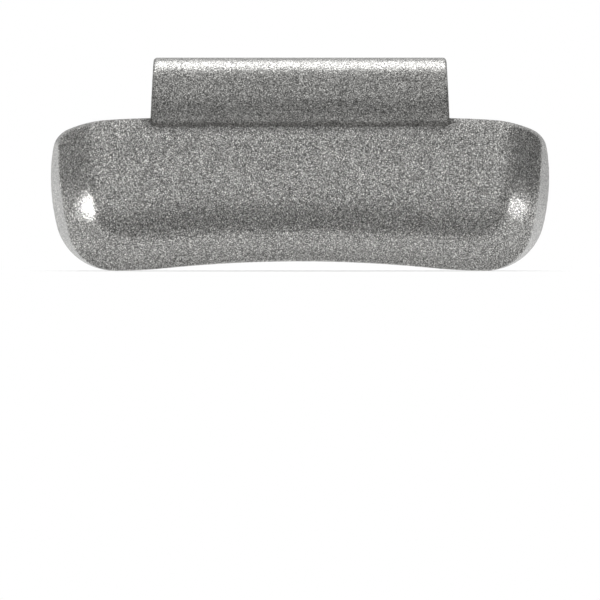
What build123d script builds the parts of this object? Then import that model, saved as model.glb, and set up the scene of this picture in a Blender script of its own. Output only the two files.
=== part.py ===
"""Clip-on balance weight for a car wheel: a cast body with a sprung rim clip cast into it.

X runs along the rim, Y from the weight's front to the rim and Z outwards from the wheel's axle.
The weight stands on its two feet at Z = 0.
"""

import math
import os

from build123d import *

os.makedirs("parts", exist_ok=True)

# Body: overall sizes and the arch that follows the rim, with feet that roll out of it
length = 66.4
body_depth = 14.0
body_height = 19.97
arch_radius = 172.0
foot_radius = 68.0
end_lean = 14.0

# Body: lower corners, and shoulders that fall from the flat top to the upper ends
back_corner = 7.7
shoulder_radius = 115.0
shoulder_turn = 4.0
slope_radius = 13.0
slope_turn = 21.0
upper_corner = 2.5

# Body: draft of the ends, bevel round the front, crowned lower front and seat for the rim's lip
end_draft = 2.3
bevel_width = 4.0
bevel_rise = 4.3
bevel_depth = 4.4
front_corner = 4.8
crown_z = 10.5
crown_radius = 21.5
seat_radius = 14.2
seat_z = 7.6
front_rounding = 2.4
cast_rounding = 0.85

# Clip: strip that narrows to its crest, bent into a hook, with a tang that the body is cast round
strip = 1.6
strip_edge = 0.5
clip_width = 39.3
clip_taper = 2.9
clip_reach = 2.7
throat_rise = 3.13
throat_radius = 3.8
throat_angle = 78.67
crest_radius = 11.0
crest_angle = 64.33
root_angle = 55.0
neck_length = 3.0
bend_radius = 3.0
tang_length = 7.8
key_diameter = 5.0
key_margin = 7.4
key_rise = 3.6

# Planes of the body, with the whole weight centred on Y = 0, and the draft and corner at the bevel's ridge
front = -(body_depth - clip_reach) / 2
ridge = front + bevel_depth
back = front + body_depth
ridge_draft = end_draft * (1 - bevel_depth / body_depth)
ridge_corner = back_corner - ridge_draft

# Headings of the outline where its shoulders' curves meet, and the height where the ends begin
first_cos = math.cos(math.radians(shoulder_turn))
second_cos = math.cos(math.radians(shoulder_turn + slope_turn))
shoulder_drop = shoulder_radius * (1 - first_cos) + slope_radius * (first_cos - second_cos)
end_top = body_height - shoulder_drop - upper_corner * second_cos
lean_sin = math.sin(math.radians(end_lean))
lean_cos = math.cos(math.radians(end_lean))


def stance(half_length, low, corner):
    """Give an outline's end radius, the place and turn of its foot, and the rise of its arch."""
    end_radius = (end_top - low - corner * (1 - lean_sin)) / lean_sin
    foot_x = half_length - corner * lean_cos - end_radius * (1 - lean_cos)
    foot_turn = math.asin(foot_x / (arch_radius + foot_radius))
    arch_rise = (arch_radius + foot_radius) * (1 - math.cos(foot_turn))
    return end_radius, foot_x, math.degrees(foot_turn), arch_rise


# Rim clip: the hook's strip follows its middle line from the neck to the free tip
with BuildPart() as rim_clip:
    with BuildLine(Plane.YZ) as hook_line:
        throat_side = (front - clip_reach + strip / 2, body_height + throat_rise)
        throat = JernArc(throat_side, (0, 1), throat_radius, -throat_angle)
        crest = JernArc(throat @ 1, throat % 1, crest_radius, -crest_angle)
        root = JernArc(throat_side, (0, -1), throat_radius, root_angle)
        neck = Line(root @ 1, root @ 1 + (root % 1) * neck_length)
    with BuildSketch(Plane(neck @ 1, x_dir=(1, 0, 0), z_dir=neck % 1)):
        Rectangle(2 * clip_width, strip)
    sweep(path=hook_line.wire())
    # Sides that lean in towards the crest, with the sheared edges rounded
    with BuildSketch(Plane.XZ):
        with Locations((0, (neck @ 1).Z - strip)):
            Trapezoid(clip_width, 2 * body_height, 90 - clip_taper, align=(Align.CENTER, Align.MIN))
    extrude(amount=2 * body_depth, both=True, mode=Mode.INTERSECT)
    sides = rim_clip.faces().filter_by(lambda f: abs(f.normal_at().X) > 0.9)
    fillet(sides.edges().filter_by(lambda e: e.length > 1.1 * strip), strip_edge)
    fillet(rim_clip.faces().sort_by(Axis.Y)[-1].edges(), 0.9 * strip_edge)

    # Tang below the neck, with holes that the cast metal fills
    with BuildLine(Plane.YZ) as tang_line:
        bend = JernArc(neck @ 1, neck % 1, bend_radius, -root_angle)
        tang = Line(bend @ 1, bend @ 1 + (bend % 1) * tang_length)
    with BuildSketch(Plane.XY.move(Location(tang @ 1))):
        Rectangle(clip_width, strip)
    sweep(path=tang_line.wire())
    with Locations(tang @ 1 + Vector(0, 0, key_rise)):
        with GridLocations(clip_width / 2 - key_margin, 0, 3, 1):
            Cylinder(key_diameter / 2, 2 * strip, rotation=(90, 0, 0), mode=Mode.SUBTRACT)

# Weight body: a tall form whose bevel spreads from the front face, within a drafted block with shoulders
with BuildPart() as weight_body:
    for spread in (-1, body_depth / bevel_depth - 1):
        bevel = spread * bevel_rise
        corner = ridge_corner + spread * (ridge_corner - front_corner)
        half_length = length / 2 - ridge_draft + spread * bevel_width
        end_radius, foot_x, foot_turn, arch_rise = stance(half_length, -bevel, corner)
        with BuildSketch(Plane.XZ.offset(-(ridge + spread * bevel_depth))):
            with BuildLine():
                foot = JernArc((-foot_x, -bevel), (1, 0), foot_radius + bevel, foot_turn)
                lower = JernArc((-foot_x, -bevel), (-1, 0), corner, end_lean - 90)
                end = JernArc(lower @ 1, lower % 1, end_radius, -end_lean)
                rise = Line(end @ 1, end @ 1 + (end % 1) * body_height)
                mirror(about=Plane.YZ)
                ThreePointArc(foot @ 1, (0, arch_rise - bevel), (-(foot @ 1).X, (foot @ 1).Y))
                Line(rise @ 1, (-(rise @ 1).X, (rise @ 1).Y))
            make_face()
    loft(ruled=True)

    with BuildPart(mode=Mode.INTERSECT):
        for plane_y, draft in ((front, end_draft), (back, 0)):
            corner = back_corner - draft
            end_radius, foot_x, foot_turn, arch_rise = stance(length / 2 - draft, 0, corner)
            with BuildSketch(Plane.XZ.offset(-plane_y)):
                with BuildLine():
                    foot = JernArc((-foot_x, 0), (1, 0), foot_radius, foot_turn)
                    lower = JernArc((-foot_x, 0), (-1, 0), corner, end_lean - 90)
                    end = JernArc(lower @ 1, lower % 1, end_radius, -end_lean)
                    upper = JernArc(end @ 1, end % 1, upper_corner, shoulder_turn + slope_turn - 90)
                    slope = JernArc(upper @ 1, upper % 1, slope_radius, -slope_turn)
                    shoulder = JernArc(slope @ 1, slope % 1, shoulder_radius, -shoulder_turn)
                    mirror(about=Plane.YZ)
                    ThreePointArc(foot @ 1, (0, arch_rise), (-(foot @ 1).X, (foot @ 1).Y))
                    Line(shoulder @ 1, (-(shoulder @ 1).X, (shoulder @ 1).Y))
                make_face()
        loft(ruled=True)

    # Section swung round the axle: flat front with a crowned lower part, flat back and rounded rim seat
    axle_z = arch_rise - arch_radius
    high = 2 * body_height - axle_z
    low = -body_height - axle_z
    swing = 1.2 * math.degrees(math.asin(length / 2 / arch_radius))
    swing_dir = (math.cos(math.radians(swing)), 0, math.sin(math.radians(swing)))
    with BuildSketch(Plane(origin=(0, 0, axle_z), x_dir=(0, 1, 0), z_dir=swing_dir)):
        with BuildLine():
            face = Line((front, high), (front, crown_z - axle_z))
            brow = JernArc(face @ 1, face % 1, crown_radius, 25)
            under = Line(brow @ 1, ((brow @ 1).X, low))
            base = Line(under @ 1, (back, low))
            wall = Line(base @ 1, (back, seat_z - axle_z))
            seat = JernArc(wall @ 1, wall % 1, seat_radius, 75)
            Polyline(seat @ 1, ((seat @ 1).X, high), face @ 0)
        make_face()
    revolve(axis=Axis((0, 0, axle_z), (0, 1, 0)), revolution_arc=2 * swing, mode=Mode.INTERSECT)

    # Rounded edges of the casting: the bevel's creases at the front
    front_faces = weight_body.faces().filter_by(Plane.XZ).sort_by(Axis.Y)[:1]
    front_faces += weight_body.faces().filter_by(GeomType.TORUS).sort_by(Axis.Y)[:1]
    rim_edges = front_faces.edges().filter_by(
        lambda e: abs((e @ 0.5).X) > front_rounding or (e @ 0.5).Z < crown_z / 2
    )
    creases = rim_edges.filter_by(lambda e: (e @ 0.5).Z < crown_z or abs((e % 0.5).X) < abs((e % 0.5).Z))
    fillet(creases, front_rounding)

    # Rounded edges of the casting: the loops that run from the arch round the bevel's ridge and round the back
    mid_edges = weight_body.edges().filter_by(lambda e: abs((e @ 0.5).X) < cast_rounding)
    fillet(mid_edges.group_by(Axis.Z)[0], cast_rounding)

    # The tang's bed in the cast metal
    add(rim_clip.part, mode=Mode.SUBTRACT)

weight_body.part.label = "weight_body"
rim_clip.part.label = "rim_clip"
export_step(weight_body.part, "parts/weight_body.step")
export_step(rim_clip.part, "parts/rim_clip.step")
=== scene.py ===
import bpy
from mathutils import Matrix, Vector


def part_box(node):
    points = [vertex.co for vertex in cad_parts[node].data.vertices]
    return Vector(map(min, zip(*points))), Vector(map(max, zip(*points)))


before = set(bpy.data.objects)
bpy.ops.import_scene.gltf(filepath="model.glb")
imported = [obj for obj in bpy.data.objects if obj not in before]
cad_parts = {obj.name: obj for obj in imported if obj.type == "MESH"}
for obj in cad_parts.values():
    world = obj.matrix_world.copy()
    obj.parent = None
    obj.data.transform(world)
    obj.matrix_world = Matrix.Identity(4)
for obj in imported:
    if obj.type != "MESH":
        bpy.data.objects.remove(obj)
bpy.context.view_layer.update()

bpy.ops.object.select_all(action="DESELECT")


# Rim clip: one strip of spring steel, sheared, bent to a hook over the rim's lip
# and held by its tang in the casting, under a baked coating of hammered silver.
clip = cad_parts["rim_clip"]
clip_tone = (0.321, 0.318, 0.308)
flake_size = 0.00007
# The top of these tones is the painted glint tone given to the sparks.
flake_and_glint_tones = ((0.0, 0.12), (0.45, 0.32), (0.7, 0.95), (0.88, 1.61), (0.99, 1.67), (1.0, 2.03))
glint_flake_size = 0.00011
painted_glint_share = 0.065
metal_share = 0.85
film_ior = 1.5
film_roughness = (0.22, 0.42)
grain_size = 2 * flake_size
grain_detail = 2
grain_height = 0.0001
grain_strength = 0.35


def set_tones(ramp, tone, shares):
    """Set a colour ramp to darker and lighter shares of one tone, each at its place."""
    steps = ramp.color_ramp.elements
    while len(steps) < len(shares):
        steps.new(0.5)
    for step, (where, share) in zip(steps, shares):
        step.position = where
        step.color = [share * v for v in tone] + [1]


def change_range(nodes, old, new):
    """Make a node that takes a value from one range to another."""
    node = nodes.new("ShaderNodeMapRange")
    for socket, value in zip(("From Min", "From Max", "To Min", "To Max"), old + new):
        node.inputs[socket].default_value = value
    return node


def hammered_coat(name, tone):
    """Give a hammered silver coating: metal flakes of many tones and a few painted glints under a thin
    clear film.
    """
    coat = bpy.data.materials.new(name)
    coat.use_nodes = True
    nodes, links = coat.node_tree.nodes, coat.node_tree.links
    shader = nodes["Principled BSDF"]
    shader.inputs["Metallic"].default_value = metal_share
    shader.inputs["IOR"].default_value = film_ior
    place = nodes.new("ShaderNodeTexCoord")

    # Flakes: each cell of the pattern has its own tone
    flakes = nodes.new("ShaderNodeTexVoronoi")
    flakes.inputs["Scale"].default_value = 1 / flake_size
    pick = nodes.new("ShaderNodeSeparateColor")
    links.new(place.outputs["Object"], flakes.inputs["Vector"])
    links.new(flakes.outputs["Color"], pick.inputs["Color"])

    # Painted glints: a few larger flakes get the brightest tone, standing in for flakes that catch the
    # light
    painted_glints = nodes.new("ShaderNodeTexVoronoi")
    painted_glints.inputs["Scale"].default_value = 1 / glint_flake_size
    pick_glint = nodes.new("ShaderNodeSeparateColor")
    glint_cells = nodes.new("ShaderNodeMath")
    glint_cells.operation = "LESS_THAN"
    glint_cells.inputs[1].default_value = painted_glint_share
    brighter = nodes.new("ShaderNodeMath")
    brighter.operation = "MAXIMUM"
    tones = nodes.new("ShaderNodeValToRGB")
    set_tones(tones, tone, flake_and_glint_tones)
    links.new(place.outputs["Object"], painted_glints.inputs["Vector"])
    links.new(painted_glints.outputs["Color"], pick_glint.inputs["Color"])
    links.new(pick_glint.outputs["Red"], glint_cells.inputs[0])
    links.new(pick.outputs["Red"], brighter.inputs[0])
    links.new(glint_cells.outputs["Value"], brighter.inputs[1])
    links.new(brighter.outputs["Value"], tones.inputs["Fac"])
    links.new(tones.outputs["Color"], shader.inputs["Base Color"])

    # Gloss: some flakes lie under more of the film than others
    gloss = change_range(nodes, (0, 1), film_roughness)
    links.new(pick.outputs["Green"], gloss.inputs["Value"])
    links.new(gloss.outputs["Result"], shader.inputs["Roughness"])

    # Grain: the coating dries in fine bumps about twice as wide as the flakes
    grain = nodes.new("ShaderNodeTexNoise")
    grain.inputs["Scale"].default_value = 1 / grain_size
    grain.inputs["Detail"].default_value = grain_detail
    bump = nodes.new("ShaderNodeBump")
    bump.inputs["Strength"].default_value = grain_strength
    bump.inputs["Distance"].default_value = grain_height
    links.new(place.outputs["Object"], grain.inputs["Vector"])
    links.new(grain.outputs["Fac"], bump.inputs["Height"])
    links.new(bump.outputs["Normal"], shader.inputs["Normal"])
    return coat


clip.material_slots[0].material = hammered_coat("clip_coat", clip_tone)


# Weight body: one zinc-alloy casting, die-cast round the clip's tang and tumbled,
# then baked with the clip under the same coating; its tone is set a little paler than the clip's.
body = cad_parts["weight_body"]
body_tone = (0.478, 0.474, 0.460)
body_coat = hammered_coat("body_coat", body_tone)
body.material_slots[0].material = body_coat

# Painted shade: an occlusion pass darkens the coating's colour in the corner where the strip leaves the
# top of the casting.
# The painted shade ends beside the clip and below the shoulders.
painted_shade_reach = 0.0018
painted_shade_tone = 0.4
painted_shade_depth = (0.78, 0.97)
painted_shade_samples = 8
body_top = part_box("weight_body")[1][2]
clip_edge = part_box("rim_clip")[1][0]
upper_part = (0.5 * body_top, 0.7 * body_top)
clip_margin = (clip_edge + 0.5 * painted_shade_reach, clip_edge + painted_shade_reach)

nodes, links = body_coat.node_tree.nodes, body_coat.node_tree.links
shader = nodes["Principled BSDF"]
flake_tone = shader.inputs["Base Color"].links[0].from_socket
place = nodes.new("ShaderNodeTexCoord")
split = nodes.new("ShaderNodeSeparateXYZ")
sideways = nodes.new("ShaderNodeMath")
sideways.operation = "ABSOLUTE"
beside = change_range(nodes, clip_margin, (painted_shade_tone, 1))
above = change_range(nodes, upper_part, (1, painted_shade_tone))
# The occlusion node paints the corner's shade into the base colour.
corner = nodes.new("ShaderNodeAmbientOcclusion")
corner.samples = painted_shade_samples
corner.inputs["Distance"].default_value = painted_shade_reach
depth = change_range(nodes, painted_shade_depth, (painted_shade_tone, 1))
shade = nodes.new("ShaderNodeVectorMath")
shade.operation = "SCALE"
links.new(place.outputs["Object"], split.inputs["Vector"])
links.new(split.outputs["X"], sideways.inputs[0])
links.new(sideways.outputs["Value"], beside.inputs["Value"])
links.new(split.outputs["Z"], above.inputs["Value"])
links.new(beside.outputs["Result"], above.inputs["To Max"])
links.new(corner.outputs["AO"], depth.inputs["Value"])
links.new(above.outputs["Result"], depth.inputs["To Min"])
links.new(flake_tone, shade.inputs[0])
links.new(depth.outputs["Result"], shade.inputs["Scale"])
links.new(shade.outputs["Vector"], shader.inputs["Base Color"])


# Floor: a wide sheet of white paper that the weight stands on. It is plain white away from
# the weight and in the coating's gloss, and near the weight it keeps the shadow.
floor_width = 8
floor_tone = (0.94, 0.94, 0.94, 1)
shadow_oval = (0.5, 1, 1)
shadow_reach = (0.02, 0.05)
shadow_white = (0.5, 1)
bpy.ops.mesh.primitive_plane_add(size=floor_width, location=(0, 0, 0))
floor = bpy.context.object
floor.name = "floor"
sheet = bpy.data.materials.new("white_sheet")
sheet.use_nodes = True
nodes, links = sheet.node_tree.nodes, sheet.node_tree.links
matt = nodes["Principled BSDF"]
matt.inputs["Base Color"].default_value = floor_tone
matt.inputs["Roughness"].default_value = 1
matt.inputs["Specular IOR Level"].default_value = 0
white = nodes.new("ShaderNodeEmission")
place = nodes.new("ShaderNodeTexCoord")
oval = nodes.new("ShaderNodeMapping")
oval.inputs["Scale"].default_value = shadow_oval
reach = nodes.new("ShaderNodeVectorMath")
reach.operation = "LENGTH"
away = change_range(nodes, shadow_reach, shadow_white)
rays = nodes.new("ShaderNodeLightPath")
seen = nodes.new("ShaderNodeMath")
seen.operation = "MULTIPLY"
gloss = nodes.new("ShaderNodeMath")
gloss.operation = "MAXIMUM"
through = nodes.new("ShaderNodeMath")
through.operation = "MAXIMUM"
mix = nodes.new("ShaderNodeMixShader")
links.new(place.outputs["Object"], oval.inputs["Vector"])
links.new(oval.outputs["Vector"], reach.inputs[0])
links.new(reach.outputs["Value"], away.inputs["Value"])
links.new(away.outputs["Result"], seen.inputs[0])
links.new(rays.outputs["Is Camera Ray"], seen.inputs[1])
links.new(seen.outputs["Value"], gloss.inputs[0])
links.new(rays.outputs["Is Glossy Ray"], gloss.inputs[1])
links.new(gloss.outputs["Value"], through.inputs[0])
links.new(rays.outputs["Is Transmission Ray"], through.inputs[1])
links.new(through.outputs["Value"], mix.inputs["Fac"])
links.new(matt.outputs["BSDF"], mix.inputs[1])
links.new(white.outputs["Emission"], mix.inputs[2])
links.new(mix.outputs["Shader"], nodes["Material Output"].inputs["Surface"])
floor.data.materials.append(sheet)


# Cards: plain grey studio cards in front of the weight, behind it, at both ends and under the clip,
# out of view, so that the coating has darker and paler things to show on its crown, bevels and hook.
card_white = (1, 1, 1)
card_span = (-0.5, 0.5)
quarter_turn = 1.5708
lying = (0, 0, 0)
across_ends = (0, quarter_turn, 0)
across_back = (quarter_turn, 0, 0)


def card(name, size, place, turn, greys):
    """Stand a card, graded along its second side, that only the coating's gloss sees."""
    bpy.ops.mesh.primitive_plane_add(size=1, location=place, rotation=turn)
    sheet = bpy.context.object
    sheet.name = name
    sheet.scale = (*size, 1)
    sheet.visible_camera = sheet.visible_diffuse = sheet.visible_shadow = False
    paper = bpy.data.materials.new(name)
    paper.use_nodes = True
    nodes, links = paper.node_tree.nodes, paper.node_tree.links
    glow = nodes["Principled BSDF"]
    glow.inputs["Base Color"].default_value = (0, 0, 0, 1)
    glow.inputs["Specular IOR Level"].default_value = 0
    glow.inputs["Emission Strength"].default_value = 1
    on_sheet = nodes.new("ShaderNodeTexCoord")
    split = nodes.new("ShaderNodeSeparateXYZ")
    along = change_range(nodes, card_span, (0, 1))
    tones = nodes.new("ShaderNodeValToRGB")
    set_tones(tones, card_white, greys)
    links.new(on_sheet.outputs["Object"], split.inputs["Vector"])
    links.new(split.outputs["Y"], along.inputs["Value"])
    links.new(along.outputs["Result"], tones.inputs["Fac"])
    links.new(tones.outputs["Color"], glow.inputs["Emission Color"])
    sheet.data.materials.append(paper)


floor_greys = (
    (0.0, 1.0), (0.25, 0.42), (0.76, 0.14), (0.81, 0.11),
    (0.85, 0.86), (0.93, 0.9), (0.97, 0.88), (1.0, 0.6),
)
clip_greys = ((0.0, 0.6), (0.75, 0.58), (0.9, 0.64), (1.0, 1.0))
back_greys = ((0.0, 0.45), (1.0, 1.0))
left_greys = (
    (0.0, 0.88), (0.25, 0.74), (0.5, 0.64), (0.85, 0.54), (0.88, 0.45),
    (0.9, 0.06), (0.924, 0.06), (0.942, 0.55), (0.97, 1.0),
)
right_greys = (
    (0.0, 0.8), (0.25, 0.62), (0.5, 0.5), (0.85, 0.38), (0.88, 0.33),
    (0.91, 0.07), (0.94, 0.07), (0.975, 0.35), (1.0, 0.6),
)
wing_greys = ((0.0, 0.6), (1.0, 0.75))
end_size = (0.022, 0.06)
card("floor_card", size=(0.12, 0.079), place=(0, -0.0405, 0.0002), turn=lying, greys=floor_greys)
card("clip_card", size=(0.05, 0.0163), place=(0, -0.01435, 0.0175), turn=lying, greys=clip_greys)
card("back_card", size=(0.9, 0.5), place=(0, 0.45, 0.3), turn=across_back, greys=back_greys)
card("left_card", size=end_size, place=(-0.042, -0.026, 0.019), turn=across_ends, greys=left_greys)
card("right_card", size=end_size, place=(0.042, -0.026, 0.019), turn=across_ends, greys=right_greys)
card("right_wing", size=(0.03, 0.05), place=(0.052, 0.055, 0.019), turn=across_ends, greys=wing_greys)


# Soft box: a long white cloth box with a lamp in it, hung above and a little behind the weight.
# It lights the clip's crest and the floor, and is flagged off the casting.
scene = bpy.context.scene
box_size = (0.9, 0.5)
box_place = (0, 0.25, 0.7)
box_aim = (0, 0, 0.012)
box_power = 6


def facing(place, aim):
    """Give the turn that points a lamp or a camera from its place at its aim."""
    return (Vector(aim) - Vector(place)).to_track_quat("-Z", "Y").to_euler()


cloth = bpy.data.lights.new("top_box", "AREA")
cloth.shape = "RECTANGLE"
cloth.size, cloth.size_y = box_size
cloth.energy = box_power
top_box = bpy.data.objects.new("top_box", cloth)
top_box.location = box_place
top_box.rotation_euler = facing(box_place, box_aim)
top_box.visible_camera = False
scene.collection.objects.link(top_box)
top_box.light_linking.receiver_collection = bpy.data.collections.new("top_box")
for lit in (clip, floor):
    top_box.light_linking.receiver_collection.objects.link(lit)


# Hooded lamps: small bulbs in narrow hoods, stood low on the floor at both ends,
# which make the round bright spots on the casting's lower front corners.
bulb_radius = 0.001
hood_blend = 1


def hooded_lamp(name, place, aim, cone, power):
    """Stand a small lamp with a narrow soft-edged beam that faces a point."""
    bulb = bpy.data.lights.new(name, "SPOT")
    bulb.energy = power
    bulb.spot_size = cone
    bulb.spot_blend = hood_blend
    bulb.shadow_soft_size = bulb_radius
    lamp = bpy.data.objects.new(name, bulb)
    lamp.location = place
    lamp.rotation_euler = facing(place, aim)
    lamp.visible_camera = False
    scene.collection.objects.link(lamp)


hooded_lamp(
    "left_lamp", place=(-0.0510, -0.0080, 0.0033), aim=(-0.0274, -0.0050, 0.0084), cone=0.17, power=0.013
)
hooded_lamp(
    "left_fill", place=(-0.0470, -0.0180, 0.0034), aim=(-0.0265, -0.0050, 0.0084), cone=0.16, power=0.0018
)
hooded_lamp(
    "right_lamp", place=(0.0514, -0.0035, 0.0036), aim=(0.0284, -0.0040, 0.0084), cone=0.16, power=0.0035
)


# Backdrop: plain white paper all round the studio, seen by the camera and in the coating's gloss.
# It gives the other surfaces a weaker, level light.
paper_strength = 1
fill_strength = 0.4
world = bpy.data.worlds.new("studio")
scene.world = world
world.use_nodes = True
nodes, links = world.node_tree.nodes, world.node_tree.links
nodes.clear()
paper = nodes.new("ShaderNodeBackground")
fill = nodes.new("ShaderNodeBackground")
for glow, strength in ((paper, paper_strength), (fill, fill_strength)):
    glow.inputs["Color"].default_value = (1, 1, 1, 1)
    glow.inputs["Strength"].default_value = strength
rays = nodes.new("ShaderNodeLightPath")
gloss = nodes.new("ShaderNodeMath")
gloss.operation = "MAXIMUM"
through = nodes.new("ShaderNodeMath")
through.operation = "MAXIMUM"
mix = nodes.new("ShaderNodeMixShader")
out = nodes.new("ShaderNodeOutputWorld")
links.new(rays.outputs["Is Camera Ray"], gloss.inputs[0])
links.new(rays.outputs["Is Glossy Ray"], gloss.inputs[1])
links.new(gloss.outputs["Value"], through.inputs[0])
links.new(rays.outputs["Is Transmission Ray"], through.inputs[1])
links.new(through.outputs["Value"], mix.inputs["Fac"])
links.new(fill.outputs["Background"], mix.inputs[1])
links.new(paper.outputs["Background"], mix.inputs[2])
links.new(mix.outputs["Shader"], out.inputs["Surface"])


# Camera: a long lens far in front of the weight, at about its middle height and square to its face.
# It is aimed low, so that the weight sits in the upper part of the frame.
frame_pixels = 600
pixels_per_metre = 7650
sensor_width = 36
view_distance = 2
view_height = 0.010
view_place = (0, -view_distance, view_height)
view_aim = (0, 0, -0.00382)
lens = bpy.data.cameras.new("camera")
lens.sensor_width = sensor_width
lens.lens = sensor_width * view_distance * pixels_per_metre / frame_pixels
camera = bpy.data.objects.new("camera", lens)
camera.location = view_place
camera.rotation_euler = facing(view_place, view_aim)
scene.collection.objects.link(camera)
scene.camera = camera
scene.view_settings.view_transform = "Standard"
